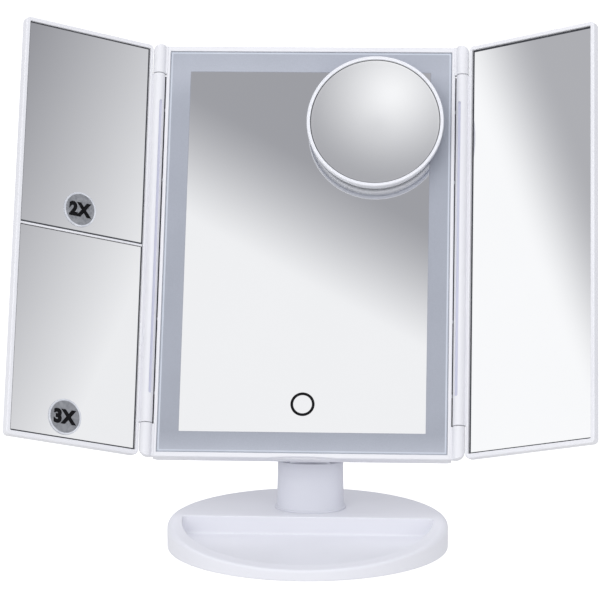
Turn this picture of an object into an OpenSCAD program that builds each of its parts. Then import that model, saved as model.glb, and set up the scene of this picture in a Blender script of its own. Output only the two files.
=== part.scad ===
// Trifold vanity mirror: lighted centre head with two hinged wing mirrors,
// a removable round magnifier, and a round tray base with a short neck.
// Millimetres, +Z up, origin on the ground under the middle of the base.
// Head pieces are drawn in the head's own frame: X to the right, Y backwards
// from the front rim, Z up along the glass from its lower edge.

/* [Base] */
// Radius of the round base
base_r = 76; // [74:0.5:80]
// Height of the base's rear platform above the ground
base_h = 15.8; // [15:0.1:17]
// Thickness of the base shell
base_wall = 2.2; // [1.8:0.1:2.6]
// Radius of the tray inside its rim
tray_r = 68; // [66:0.5:70]
// Where the tray's straight back wall stands, forward of the centre is negative
tray_y = 3.5; // [0:0.5:5]
// Height of the tray's floor above the ground
tray_floor = 5.85; // [5.6:0.05:6.5]
// Drop of the rim per millimetre towards the front
rim_slope = 0.123; // [0.09:0.001:0.13]

/* [Neck] */
// Half width of the neck column
neck_a = 18; // [17:0.1:18.5]
// Distance of the neck's foot behind the base's centre
neck_y = 27.75; // [27:0.25:29]

/* [Tilt] */
// Lean of the head at rest, back from the vertical
lean = 25.7; // [0:0.1:60]
// Distance of the tilt axis behind the base's centre
piv_y = 29.1; // [28.5:0.1:30]
// Height of the tilt axis above the ground
piv_z = 50; // [50:0.1:54]
// Radius of the tilt shaft
shaft_r = 2.5; // [2:0.1:3]

/* [Head] */
// Visible width of the centre glass
glass_w = 158; // [150:1:158]
// Visible height of the centre glass
glass_h = 230.9; // [228:0.1:231]
// How far the head's middle lies to the left of the neck's middle
head_off = 3.8; // [0:0.1:4]
// Depth of the front frame's walls
frame_d = 8; // [8:0.1:8.4]

/* [Wings] */
// Left wing at rest, forward from flat
left_open = 34.7; // [0:0.1:90]
// Right wing at rest, forward from flat
right_open = 31.7; // [0:0.1:80]
// Radius of the hinge barrels
barrel_r = 3.4; // [3:0.1:3.5]
// Radius of the hinge pins
pin_r = 1.25; // [1:0.05:1.4]
// Depth of a wing from its front rim to its back
wing_t = 5.5; // [5:0.1:6]

/* [Spot mirror] */
// Outer radius of the round magnifier
spot_r = 38; // [36:0.1:38]
// Its centre, to the right of the head's middle
spot_u = 37; // [37:0.1:38]
// Its centre above the glass's lower edge
spot_v = 186.2; // [180:0.1:188]

/* [Hidden] */
$fn = 64;

skirt_z = 0.8;              // the base's lower edge stands this far off the ground
plate_t = 2;
fil = 4.2;                  // rounding of the base's top edge
half_w = glass_w / 2;       // 79
frame_w = half_w + 2;       // 81
frame_lo = -2.7;
frame_hi = glass_h + 2.9;   // 233.8
hinge_u = frame_w + 4;      // 85
hinge_y = -0.4;             // the hinge axes stand just in front of the rims
bar_lo = 15.5;              // top of the lower corner barrels
bar_hi = 217.2;             // foot of the upper corner barrels
piv_d = 21.5;               // tilt axis behind the front rim
piv_v = 9.56;               // tilt axis above the glass's lower edge
knuckle_r = 8;
wing_s0 = 3.7;              // wing plate starts this far from its hinge axis
wing_s1 = 83.7;
shell = "#f1f1f5";
dark = "#2b2c30";

// ---------------------------------------------------------------- placing
module on_head() {
  translate([0, piv_y, piv_z]) rotate([-lean, 0, 0]) translate([-head_off, -piv_d, -piv_v]) children();
}
module on_left() {
  on_head() translate([-hinge_u, hinge_y, 0]) rotate([0, 0, left_open]) mirror([1, 0, 0]) children();
}
module on_right() {
  on_head() translate([hinge_u, hinge_y, 0]) rotate([0, 0, -right_open]) children();
}
module on_spot() {
  on_head() translate([spot_u, 0, spot_v]) rotate([90, 0, 0]) children();
}
module along_x(x0, x1, r) { translate([x0, 0, 0]) rotate([0, 90, 0]) cylinder(r = r, h = x1 - x0); }
module back_y(y0, y1, r) { translate([0, y0, 0]) rotate([-90, 0, 0]) cylinder(r = r, h = y1 - y0); }
module box(a, b) { translate(a) cube(b - a); }
// a bar of round wire through a list of points
module wire(pts, r) {
  for (i = [0 : len(pts) - 2]) hull() {
    translate(pts[i]) sphere(r = r, $fn = 8);
    translate(pts[i + 1]) sphere(r = r, $fn = 8);
  }
}
// a slab with round corners, standing in X and Z, from depth y0 to y1
module slab(x0, x1, z0, z1, y0, y1, r) {
  for (x = [x0 + r, x1 - r], z = [z0 + r, z1 - r])
    translate([x, y0, z]) rotate([-90, 0, 0]) cylinder(r = r, h = y1 - y0, $fn = 32);
}

// ---------------------------------------------------------------- base
function rim_z(y) = y > -2 ? base_h : base_h - (-2 - y) * rim_slope;

module base_body() {
  difference() {
    hull() {
      for (a = [0 : 7.5 : 359])
        let (q = base_r - fil, y = q * sin(a))
          translate([q * cos(a), y, rim_z(y) - fil]) sphere(r = fil, $fn = 20);
      translate([0, 0, skirt_z]) cylinder(r = base_r, h = 2, $fn = 96);
    }
    translate([0, 0, skirt_z - 10]) cylinder(r = base_r + 5, h = 10);
  }
}
module tray_space() {
  r = 3.5;
  q = tray_r - r;
  yb = tray_y - r;
  a0 = asin(yb / q);
  hull() {
    for (i = [0 : 24])
      let (a = 180 - a0 + i * (180 + 2 * a0) / 24) {
        translate([q * cos(a), q * sin(a), tray_floor + r]) sphere(r = r, $fn = 16);
        translate([q * cos(a), q * sin(a), 20]) cylinder(r = r, h = 5, $fn = 16);
      }
  }
}
rear_screws = [[-48, 44], [48, 44]];
front_screws = [[-49.2, -49.2], [49.2, -49.2]];
neck_holes = [[-10, neck_y], [10, neck_y]];

module base_shell() {
  color(shell) difference() {
    union() {
      difference() {
        base_body();
        tray_space();
        // rear room, under the platform
        intersection() {
          translate([0, 0, -1]) cylinder(r = base_r - 2.8, h = base_h - base_wall + 1, $fn = 96);
          box([-80, tray_y + base_wall, -2], [80, 80, 20]);
        }
        // shallow room under the tray
        translate([0, 0, -1]) cylinder(r = base_r - 2.8, h = tray_floor - base_wall + 1, $fn = 96);
      }
      for (p = rear_screws) translate([p[0], p[1], skirt_z + plate_t]) cylinder(r = 3.6, h = base_h - skirt_z - plate_t - 1);
      for (p = front_screws) translate([p[0], p[1], skirt_z + plate_t]) cylinder(r = 3.2, h = 3);
    }
    for (p = rear_screws) translate([p[0], p[1], 0]) cylinder(r = 1.2, h = 10);
    for (p = front_screws) translate([p[0], p[1], 0]) cylinder(r = 1.2, h = 6.4);
    for (p = neck_holes) translate([p[0], p[1], 10]) cylinder(r = 2.1, h = 10);
  }
}
module base_plate() {
  color("#e4e4ea") translate([0, 0, skirt_z]) difference() {
    cylinder(r = base_r - 3, h = plate_t, $fn = 96);
    for (p = concat(rear_screws, front_screws)) translate([p[0], p[1], -1]) {
      cylinder(r = 1.6, h = 5);
      cylinder(r = 3.1, h = 2.2);
    }
    for (a = [90 : 90 : 360]) rotate(a) translate([62, 0, -1]) cylinder(r = 6.5, h = 2.2);
    translate([0, 0, -1]) cylinder(r = 8.5, h = 2.2);
  }
}
module ballast_weight() {
  color("#8d9096") difference() {
    intersection() {
      translate([0, 0, skirt_z + plate_t]) cylinder(r = 68, h = 8, $fn = 96);
      box([-80, tray_y + base_wall + 1.3, 0], [80, 80, 20]);
    }
    for (p = rear_screws) translate([p[0], p[1], 0]) cylinder(r = 4.6, h = 20);
    for (p = neck_holes) translate([p[0], p[1], 0]) cylinder(r = 4.5, h = 20);
  }
}
module rubber_feet() {
  color("#3a3b40") {
    for (a = [90 : 90 : 360]) rotate(a) translate([62, 0, 0]) cylinder(r = 6.5, h = skirt_z + 1.2);
    cylinder(r = 8.5, h = skirt_z + 1.2);
  }
}
module base_screws() {
  color("#a9adb3") {
    for (p = rear_screws) translate([p[0], p[1], 0]) { translate([0, 0, skirt_z + 0.3]) cylinder(r = 2.7, h = 0.9); translate([0, 0, skirt_z + 1.1]) cylinder(r = 1.2, h = 7.4); }
    for (p = front_screws) translate([p[0], p[1], 0]) { translate([0, 0, skirt_z + 0.3]) cylinder(r = 2.7, h = 0.9); translate([0, 0, skirt_z + 1.1]) cylinder(r = 1.2, h = 4.2); }
  }
}

// ---------------------------------------------------------------- neck
module oval(a, b, y, z, h) { translate([0, y, z]) linear_extrude(height = h) scale([a, b]) circle(r = 1, $fn = 72); }
module neck_skin(off) {
  hull() { oval(neck_a + 0.3 - off, 15 - off, neck_y, base_h, 2.6); oval(neck_a + 0.1 - off, 11.2 - off, neck_y + 0.5, 27, 0.4); oval(neck_a - off, 8.7 - off, piv_y - 0.3, 34, 7.5 - off); }
}
module neck() {
  color("#dfe0e8") difference() {
    union() {
      difference() {
        union() {
          neck_skin(0);
          // low flared foot
          hull() { oval(neck_a + 1.5, 16.2, neck_y, base_h, 0.8); oval(neck_a + 0.3, 15, neck_y, base_h + 2.6, 0.2); }
        }
        translate([0, 0, -1]) neck_skin(2.4);
        box([-14, neck_y - 11, base_h - 1], [14, neck_y + 11, base_h + 1.6]);
      }
      for (p = neck_holes) translate([p[0], p[1], base_h]) cylinder(r = 3.4, h = 23.5);
      translate([0, piv_y, piv_z]) along_x(-11, 11, knuckle_r);
      box([-11, piv_y - 7.6, 40.5], [11, piv_y + 7.6, piv_z]);
    }
    translate([0, piv_y, piv_z]) along_x(-12, 12, 4);
    for (p = neck_holes) translate([p[0], p[1], base_h - 1]) cylinder(r = 1.5, h = 12);
  }
}
module neck_bolts() {
  color("#a9adb3") for (p = neck_holes) translate([p[0], p[1], 0]) {
    translate([0, 0, base_h - base_wall - 2.2]) cylinder(r = 3.3, h = 2.2);
    translate([0, 0, base_h - base_wall - 1]) cylinder(r = 1.5, h = 11.5);
  }
}
module knuckle_bushes() {
  color("#e9e4d2") translate([0, piv_y, piv_z]) for (s = [-1, 1]) difference() {
    along_x(s > 0 ? 2.5 : -11, s > 0 ? 11 : -2.5, 4);
    along_x(-12, 12, shaft_r + 0.05);
  }
}

// ---------------------------------------------------------------- tilt hinge, carried by the head
module at_pivot() { translate([0, piv_y, piv_z]) rotate([-lean, 0, 0]) children(); }
module tilt_shaft() {
  color("#b4b8be") at_pivot() { along_x(-20.5, 16.6, shaft_r); along_x(16.6, 18.6, 4.4); }
}
module shaft_nut() {
  color("#9fa3a9") at_pivot() difference() {
    translate([-19.9, 0, 0]) rotate([0, 90, 0]) cylinder(r = 4.6, h = 3.3, $fn = 6);
    along_x(-21, -16, shaft_r);
  }
}
module friction_washers() {
  color("#5c5f66") at_pivot() for (s = [-1, 1]) difference() {
    along_x(s > 0 ? 11.15 : -11.6, s > 0 ? 11.6 : -11.15, 6);
    along_x(-12, 12, shaft_r + 0.05);
  }
}
bracket_holes = [[-18.6, 4.2], [18.6, 4.2], [-18.6, 15.4], [18.6, 15.4]];
module tilt_bracket() {
  color(shell) on_head() translate([head_off, 0, 0]) difference() {
    union() {
      box([-20.6, 10.4, 0.4], [20.6, 12, 19.2]);
      for (s = [-1, 1]) {
        x0 = s > 0 ? 11.6 : -16.6;
        box([x0, 11, piv_v - knuckle_r], [x0 + 5, piv_d, piv_v + knuckle_r]);
        translate([0, piv_d, piv_v]) along_x(x0, x0 + 5, knuckle_r);
      }
    }
    translate([0, piv_d, piv_v]) along_x(-20, 20, shaft_r);
    for (p = bracket_holes) translate([p[0], 0, p[1]]) back_y(8, 14, 1.1);
  }
}
module bracket_screws() {
  color("#a9adb3") on_head() translate([head_off, 0, 0]) for (p = bracket_holes) translate([p[0], 0, p[1]]) {
    back_y(8.7, 12.2, 1.1);
    back_y(12, 13.3, 1.8);
  }
}

// ---------------------------------------------------------------- centre head
// round bar along Z with one rounded end
module round_bar(l, f) {
  rotate_extrude() polygon(concat([[0, 0], [barrel_r, 0]],
    [for (a = [0 : 15 : 90]) [barrel_r - f + f * cos(a), l - f + f * sin(a)]], [[0, l]]));
}
module centre_frame() {
  color(shell) on_head() difference() {
    union() {
      box([-frame_w, 0, frame_lo], [frame_w, frame_d, frame_hi]);
      for (s = [-1, 1]) {
        translate([s * hinge_u, hinge_y, bar_hi]) round_bar(frame_hi + 0.2 - bar_hi, 1.6);
        translate([s * hinge_u, hinge_y, bar_lo]) mirror([0, 0, 1]) round_bar(bar_lo - frame_lo + 0.3, 2.6);
        x0 = s > 0 ? frame_w - 0.5 : -hinge_u;
        box([x0, -0.1, bar_hi], [x0 + 4.5, 3, frame_hi - 0.6]);
        box([x0, -0.1, frame_lo + 0.9], [x0 + 4.5, 3, bar_lo]);
        // small spacer ribs along the side walls
        for (v = [33, 75, 155, 196]) box([s > 0 ? frame_w - 1 : -frame_w - 0.3, 0.8, v - 0.8], [s > 0 ? frame_w + 0.3 : -frame_w + 1, 2.6, v + 0.8]);
      }
    }
    box([-half_w, -1, 0], [half_w, 3.5, glass_h]);
    box([-half_w + 3, 3, 3], [half_w - 3, 5.5, glass_h - 3]);
    box([-half_w, 5, 0], [half_w, frame_d + 1, glass_h]);
    // pin bores
    for (s = [-1, 1]) translate([s * hinge_u, hinge_y, 0]) {
      translate([0, 0, bar_hi - 1]) cylinder(r = pin_r, h = 13);
      translate([0, 0, bar_lo - 12]) cylinder(r = pin_r, h = 13);
    }
    // shallow finger notch in the lower edge
    translate([0, -1, frame_lo - 199.2]) rotate([-90, 0, 0]) cylinder(r = 200, h = 4, $fn = 360);
  }
}
module hinge_pins() {
  color("#b4b8be") on_head() for (s = [-1, 1]) translate([s * hinge_u, hinge_y, 0]) {
    translate([0, 0, bar_hi - 9.6]) cylinder(r = pin_r, h = 21.6);
    translate([0, 0, bar_lo - 12]) cylinder(r = pin_r, h = 21.6);
  }
}
module main_mirror() {
  color("#c9d0d6") on_head() box([-half_w + 0.1, 0.5, 0.1], [half_w - 0.1, 3.5, glass_h - 0.1]);
}
touch_v = 27.4;
module touch_mark() {
  color("#15161a") on_head() translate([0, 0, touch_v]) difference() {
    back_y(0.4, 0.5, 6.6);
    back_y(0, 1, 5.1);
  }
}
module touch_sensor() {
  color("#c98d52") on_head() translate([0, 0, touch_v]) {
    back_y(3.5, 3.8, 8);
    difference() { back_y(3.7, 7.2, 2.4); back_y(4.2, 8, 1.7); }
  }
}
// a flat ring behind the frosted border
module border(out, wide, y0, y1) {
  difference() {
    box([-half_w + out, y0, out], [half_w - out, y1, glass_h - out]);
    box([-half_w + out + wide, y0 - 1, out + wide], [half_w - out - wide, y1 + 1, glass_h - out - wide]);
  }
}
module diffuser() { color("#eef3f6") on_head() border(3.2, 9.6, 3.5, 4.5); }
module led_board() { color("#f4f4ee") on_head() border(4.6, 7.8, 6, 7.2); }
module leds() {
  color("#f2e27a") on_head() {
    for (s = [-1, 1], i = [0 : 6]) translate([s * (half_w - 8.5), 5.6, 22 + i * (glass_h - 44) / 6]) cube([2.8, 0.8, 3.5], center = true);
    for (z = [8.5, glass_h - 8.5], i = [0 : 3]) translate([-51 + i * 34, 5.6, z]) cube([3.5, 0.8, 2.8], center = true);
  }
}
cover_holes = [for (x = [-58, 58], z = [24, 116, 208]) [x, z]];
board_feet = [for (x = [-27, 27], z = [113, 147]) [x, z]];
module light_tray() {
  color("#f7f7f8") on_head() difference() {
    union() {
      box([-half_w + 0.3, 7.2, 0.3], [half_w - 0.3, 8.5, glass_h - 0.3]);
      for (p = cover_holes) translate([p[0], 0, p[1]]) back_y(8, 12, 3);
      for (p = board_feet) translate([p[0], 0, p[1]]) back_y(8, 8.9, 2);
    }
    for (p = cover_holes) translate([p[0], 0, p[1]]) back_y(8.8, 13, 1.2);
    // way through for the lead to the light strip, and for the sensor lead
    translate([-60, 0, 160]) back_y(6, 9, 2.2);
    translate([12, 0, touch_v]) back_y(6, 9, 2);
  }
}
module control_board() { color("#2f6b45") on_head() box([-30, 8.9, 110], [30, 10.1, 150]); }
module control_components() {
  color(dark) on_head() {
    box([-6, 10.1, 126], [6, 11.3, 134]);
    box([-22, 10.1, 116], [-15, 11.6, 123]);
    box([14, 10.1, 138], [20, 11.5, 144]);
    box([14, 10.1, 118], [22, 11.2, 122]);
    for (i = [0 : 4]) box([-24 + i * 4, 10.1, 140], [-22.2 + i * 4, 10.9, 141.2]);
  }
}
module inner_leads() {
  color("#b5362f") on_head() {
    wire([[20, 10.9, 88.95], [20, 10.9, 98], [24, 10.9, 104], [24, 10.9, 109.9]], 0.6);
    wire([[-30.8, 9.6, 144], [-44, 9.9, 150], [-60, 9.9, 160], [-60, 7.3, 160]], 0.6);
    wire([[12, 7.4, touch_v], [12, 9.6, touch_v], [33, 9.8, 29], [33, 9.9, 100], [28, 9.9, 109.2]], 0.6);
    wire([[-31.2, 18.9, 49.2], [-31.2, 16, 60], [-31.4, 11.2, 90], [-26, 10.9, 98], [-20, 10.9, 104], [-20, 10.9, 109.9]], 0.6);
  }
}

// ---------------------------------------------------------------- rear cover and power
well = [28, 36, 86];        // half width, foot and top of the battery well
module cover_out() {
  hull() { slab(-frame_w, frame_w, frame_lo, frame_hi, frame_d, 9.6, 2); slab(-frame_w + 4, frame_w - 4, frame_lo + 4, frame_hi - 4, 13, 14, 7); }
}
module rear_cover() {
  color(shell) on_head() difference() {
    union() {
      difference() {
        union() {
          cover_out();
          hull() { slab(-39, 39, 27, 96, 13, 14, 7); slab(-35.5, 35.5, 30.5, 92.5, 22.5, 23.5, 5); }
        }
        hull() { slab(-half_w, half_w, 0, glass_h, frame_d - 1, 9.4, 1); slab(-half_w + 3.5, half_w - 3.5, 3.5, glass_h - 3.5, 11, 12, 6); }
        hull() { slab(-37, 37, 29, 94, 11, 14, 5); slab(-33.5, 33.5, 32.5, 90.5, 20.5, 21.5, 3.5); }
      }
      // battery well
      box([-well[0] - 2, 8.6, well[1] - 2], [well[0] + 2, 21.9, well[2] + 2]);
      // walls of the recess that the neck enters
      intersection() {
        box([head_off - 23, 8.6, frame_lo], [head_off + 23, 14, 21.9]);
        cover_out();
      }
    }
    // the recess for the neck, open below and behind
    box([head_off - 21.2, 10.4, -6], [head_off + 21.2, 16, 20]);
    for (p = bracket_holes) translate([p[0] + head_off, 0, p[1]]) back_y(8, 14, 1.1);
    box([-well[0], 9.8, well[1]], [well[0], 30, well[2]]);
    // seat of the sliding door, open at its upper end
    box([-30, 21.6, 34], [30, 30, 110]);
    // slots for the door's tongues, open behind at their upper end
    for (s = [-1, 1]) {
      x0 = s > 0 ? 27.9 : -30.1;
      box([x0, 19.6, 44], [x0 + 2.2, 21, 68]);
      box([x0, 20.8, 54.9], [x0 + 2.2, 22, 68]);
    }
    // opening for the power inlet
    box([-45, 16.8, 39.5], [-33, 20.4, 48.1]);
    for (p = cover_holes) translate([p[0], 0, p[1]]) { back_y(8, 15, 1.5); back_y(12.9, 15, 3); }
  }
}
module cover_screws() {
  color("#a9adb3") on_head() for (p = cover_holes) translate([p[0], 0, p[1]]) { back_y(9, 13, 1.2); back_y(12.9, 13.9, 2.7); }
}
module battery_door() {
  color(shell) on_head() difference() {
    union() {
      box([-29.7, 21.8, 34.3], [29.7, 23.5, 92.3]);
      for (i = [0 : 3]) box([-9, 23.4, 76 + i * 3], [9, 23.9, 77.2 + i * 3]);
      // tongues that reach under the well's ledges
      for (s = [-1, 1]) {
        box([s > 0 ? 26 : -29.8, 19.8, 45], [s > 0 ? 29.8 : -26, 20.8, 54.5]);
        box([s > 0 ? 26 : -27.7, 20.4, 45], [s > 0 ? 27.7 : -26, 22, 54.5]);
      }
    }
    for (s = [-1, 1]) translate([s * 31.5, 0, 94.5]) back_y(20, 30, 3.5);
  }
}
cell_z = [for (i = [0 : 3]) 44.6 + i * 10.95];
module battery_cells() {
  on_head() for (i = [0 : 3]) translate([0, 15.6, cell_z[i]]) {
    s = i % 2 == 0 ? 1 : -1;
    color("#33343a") along_x(-22, 21.6, 5.2);
    color("#c7cacf") along_x(s > 0 ? 21.5 : -22.8, s > 0 ? 22.8 : -21.9, 1.9);
  }
}
module battery_contacts() {
  color("#c7cacf") on_head() {
    for (s = [-1, 1], k = s > 0 ? [0, 2] : [0, 1, 3]) {
      lo = s > 0 ? cell_z[k] - 3.6 : (k == 1 ? cell_z[1] - 3.6 : cell_z[k] - 3.6);
      hi = s > 0 ? cell_z[k + 1] + 3.6 : (k == 1 ? cell_z[2] + 3.6 : cell_z[k] + 3.6);
      box([s > 0 ? 27.4 : -27.9, 12, lo], [s > 0 ? 27.9 : -27.4, 19.2, hi]);
    }
    // springs, one at the flat end of each cell
    for (i = [0 : 3]) translate([0, 15.6, cell_z[i]])
      if (i % 2 == 0) { along_x(-27.5, -22.05, 2.4); along_x(22.85, 27.5, 1.2); }
      else { along_x(21.65, 27.5, 2.4); along_x(-27.5, -22.85, 1.2); }
  }
}
module usb_socket() {
  color("#b9bdc3") on_head() difference() {
    box([-37.2, 17.1, 40], [-31.6, 20.1, 47.6]);
    box([-38, 17.5, 40.4], [-33.4, 19.7, 47.2]);
  }
}

// ---------------------------------------------------------------- wings, drawn opening to the right
module wing_frame(divided) {
  v0 = -2.5;
  v1 = frame_hi - 0.2;
  difference() {
    union() {
      box([wing_s0, 0.4, v0], [wing_s1, 0.4 + wing_t, v1]);
      translate([0, 0, bar_lo + 0.4]) cylinder(r = barrel_r, h = bar_hi - bar_lo - 0.8);
      box([0, 0.6, bar_lo + 0.4], [wing_s0 + 0.8, 3.2, bar_hi - 0.4]);
    }
    box([wing_s0 + 2.7, -1, 0.2], [wing_s1 - 2.4, 4.4, glass_h + 0.4]);
    for (z = [bar_lo - 1, bar_hi - 10]) translate([0, 0, z]) cylinder(r = pin_r + 0.05, h = 11);
    // long shallow groove in the barrel's front
    box([-0.95, -5, 33], [0.95, -2.8, 200]);
    for (z = [33, 200]) translate([0, -5, z]) rotate([-90, 0, 0]) cylinder(r = 0.95, h = 2.2, $fn = 24);
  }
  if (divided) box([wing_s0 + 2.4, 0.9, 115.1], [wing_s1 - 2.2, 4.6, 116.3]);
}
// concave plate: a flat back, and a front that is deeper in the middle
module dished(s0, s1, v0, v1, front, back, rad) {
  cu = (s0 + s1) / 2;
  cv = (v0 + v1) / 2;
  big = norm([s1 - s0, v1 - v0]) / 2 + 1;
  sag = big * big / (2 * rad);
  difference() {
    box([s0, front, v0], [s1, back, v1]);
    translate([cu, front + sag, cv]) rotate([90, 0, 0])
      rotate_extrude($fn = 128) polygon(concat([[0, 9]], [for (i = [0 : 10]) let (q = i * big / 10) [q, q * q / (2 * rad)]], [[big, 9]]));
  }
}
m_s0 = wing_s0 + 2.9;
m_s1 = wing_s1 - 2.6;
module left_wing_frame() { color(shell) on_left() wing_frame(true); }
module right_wing_frame() { color(shell) on_right() wing_frame(false); }
module mirror_2x() { color("#c9d0d6") on_left() dished(m_s0, m_s1, 116.5, glass_h + 0.2, 1.3, 3.8, 2600); }
module mirror_3x() { color("#c9d0d6") on_left() dished(m_s0, m_s1, 0.4, 114.9, 1.3, 3.8, 1900); }
module right_mirror() { color("#c9d0d6") on_right() box([m_s0, 1.8, 0.4], [m_s1, 3.8, glass_h + 0.2]); }
module tape(v0, v1) { for (s = [14, 62]) box([s, 3.8, v0], [s + 12, 4.4, v1]); }
module left_tape() { color("#d8d8d2") on_left() { tape(10, 105); tape(126, 221); } }
module right_tape() { color("#d8d8d2") on_right() tape(10, 221); }
// round badges that stand on the two magnifying mirrors
module badge(s, v, y) { on_left() translate([s, 0, v]) difference() { back_y(y, y + 1.05, 9.8); back_y(y - 1, y + 0.2, 8.9); } }
module badge_2x() { color("#b9bbbf") badge(45.5, 129.1, 0.55); }
module badge_3x() { color("#b9bbbf") badge(49.0, 12.1, 0.6); }

// ---------------------------------------------------------------- round magnifier
module spot_housing() {
  color(shell) on_spot() difference() {
    rotate_extrude($fn = 120) union() {
      polygon([[0, 1.6], [spot_r - 2.4, 1.6], [spot_r - 1.6, 2.4], [spot_r - 0.9, 8.8], [spot_r - 0.6, 9.4], [spot_r, 9.8], [spot_r, 11.6], [spot_r - 0.6, 12.2], [spot_r - 1.8, 12.2], [spot_r - 2.3, 11.5], [spot_r - 2.3, 3.2], [0, 3.2]]);
    }
  }
}
function spot_arc(c, q, n) = [for (i = [0 : n]) let (r = q * i / n) [r, c + r * r / 240]];
module spot_glass() {
  q = spot_r - 2.4;
  f = spot_arc(5.7, q, 10);
  b = spot_arc(4.2, q, 10);
  color("#c9d0d6") on_spot() rotate_extrude($fn = 120) polygon(concat(f, [for (i = [10 : -1 : 0]) b[i]]));
}
module suction_cups() {
  color("#e8ecef") on_spot() for (a = [90, 210, 330]) rotate(a) translate([20, 0, 0])
    rotate_extrude($fn = 48) polygon([[0, 0.2], [7.4, -0.4], [8.6, -0.4], [8.6, -0.1], [4, 0.9], [3.2, 1.6], [0, 1.6]]);
}

base_shell();
base_plate();
ballast_weight();
rubber_feet();
base_screws();
neck();
neck_bolts();
knuckle_bushes();
tilt_shaft();
shaft_nut();
friction_washers();
tilt_bracket();
bracket_screws();
centre_frame();
hinge_pins();
main_mirror();
touch_mark();
touch_sensor();
diffuser();
led_board();
leds();
light_tray();
control_board();
control_components();
inner_leads();
rear_cover();
cover_screws();
battery_door();
battery_cells();
battery_contacts();
usb_socket();
left_wing_frame();
mirror_2x();
mirror_3x();
badge_2x();
badge_3x();
left_tape();
right_wing_frame();
right_mirror();
right_tape();
spot_housing();
spot_glass();
suction_cups();
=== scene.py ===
import math

import bpy
import bmesh
from mathutils import Matrix, Vector


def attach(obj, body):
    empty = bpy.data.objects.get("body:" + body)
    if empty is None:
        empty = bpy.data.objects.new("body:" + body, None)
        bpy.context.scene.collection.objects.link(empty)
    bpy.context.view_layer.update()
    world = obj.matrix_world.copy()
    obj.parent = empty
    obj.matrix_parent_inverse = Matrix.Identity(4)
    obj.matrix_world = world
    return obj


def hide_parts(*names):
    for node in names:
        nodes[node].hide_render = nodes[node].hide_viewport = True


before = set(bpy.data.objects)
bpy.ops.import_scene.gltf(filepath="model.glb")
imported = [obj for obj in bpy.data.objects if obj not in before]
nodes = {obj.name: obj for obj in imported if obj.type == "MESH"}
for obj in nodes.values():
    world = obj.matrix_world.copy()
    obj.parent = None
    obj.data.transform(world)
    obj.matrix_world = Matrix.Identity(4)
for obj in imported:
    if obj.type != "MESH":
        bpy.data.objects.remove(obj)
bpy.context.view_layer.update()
scene = bpy.context.scene

# ------------------------------------------------------------------ places, in millimetres as in the CAD
LEAN = math.radians(25.7)
BASE_R, BASE_H, TRAY_R, TRAY_Y, TRAY_Z, RIM_SLOPE, SKIRT = 76.0, 15.8, 68.0, 3.5, 5.85, 0.123, 0.8
PIV_Y, PIV_Z, PIV_D, PIV_V, HEAD_OFF = 29.1, 50.0, 21.5, 9.56, 3.8
GLASS_W, GLASS_H, FRAME_D = 158.0, 230.9, 8.0
HALF = GLASS_W / 2
FRAME_LO, FRAME_HI, FRAME_HALF = -2.7, 233.8, 81.0
HINGE_U, HINGE_Y, BAR_LO, BAR_HI, BAR_R = 85.0, -0.4, 15.5, 217.2, 3.4
LEFT_OPEN, RIGHT_OPEN = math.radians(34.7), math.radians(31.7)
S0, S1, WING_T = 3.7, 83.7, 5.5
SPOT_U, SPOT_V, SPOT_R = 37.0, 186.2, 38.0
NECK_Y = 27.75

MM = Matrix.Scale(0.001, 4)
WORLD = MM
HEAD = MM @ Matrix.Translation((0, PIV_Y, PIV_Z)) @ Matrix.Rotation(-LEAN, 4, "X") @ Matrix.Translation((-HEAD_OFF, -PIV_D, -PIV_V))
LEFT = HEAD @ Matrix.Translation((-HINGE_U, HINGE_Y, 0)) @ Matrix.Rotation(LEFT_OPEN, 4, "Z") @ Matrix.Diagonal((-1, 1, 1, 1))
RIGHT = HEAD @ Matrix.Translation((HINGE_U, HINGE_Y, 0)) @ Matrix.Rotation(-RIGHT_OPEN, 4, "Z")
SPOT = HEAD @ Matrix.Translation((SPOT_U, 0, SPOT_V)) @ Matrix.Rotation(math.pi / 2, 4, "X")


# ------------------------------------------------------------------ camera
A, E = math.radians(3.21), math.radians(9.93)
TARGET, DIST = Vector((-0.00416, 0.0, 0.13585)), 1.7096
back = Vector((math.sin(A) * math.cos(E), -math.cos(A) * math.cos(E), math.sin(E)))
cam_data = bpy.data.cameras.new("camera")
cam_data.lens, cam_data.sensor_width = 191.73, 36.0
cam_data.clip_start, cam_data.clip_end = 0.05, 50
cam_data.dof.use_dof = False
cam = bpy.data.objects.new("camera", cam_data)
scene.collection.objects.link(cam)
cam.location = TARGET + back * DIST
cam.rotation_mode = "QUATERNION"
cam.rotation_quaternion = (-back).to_track_quat("-Z", "Y")
scene.camera = cam


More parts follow.
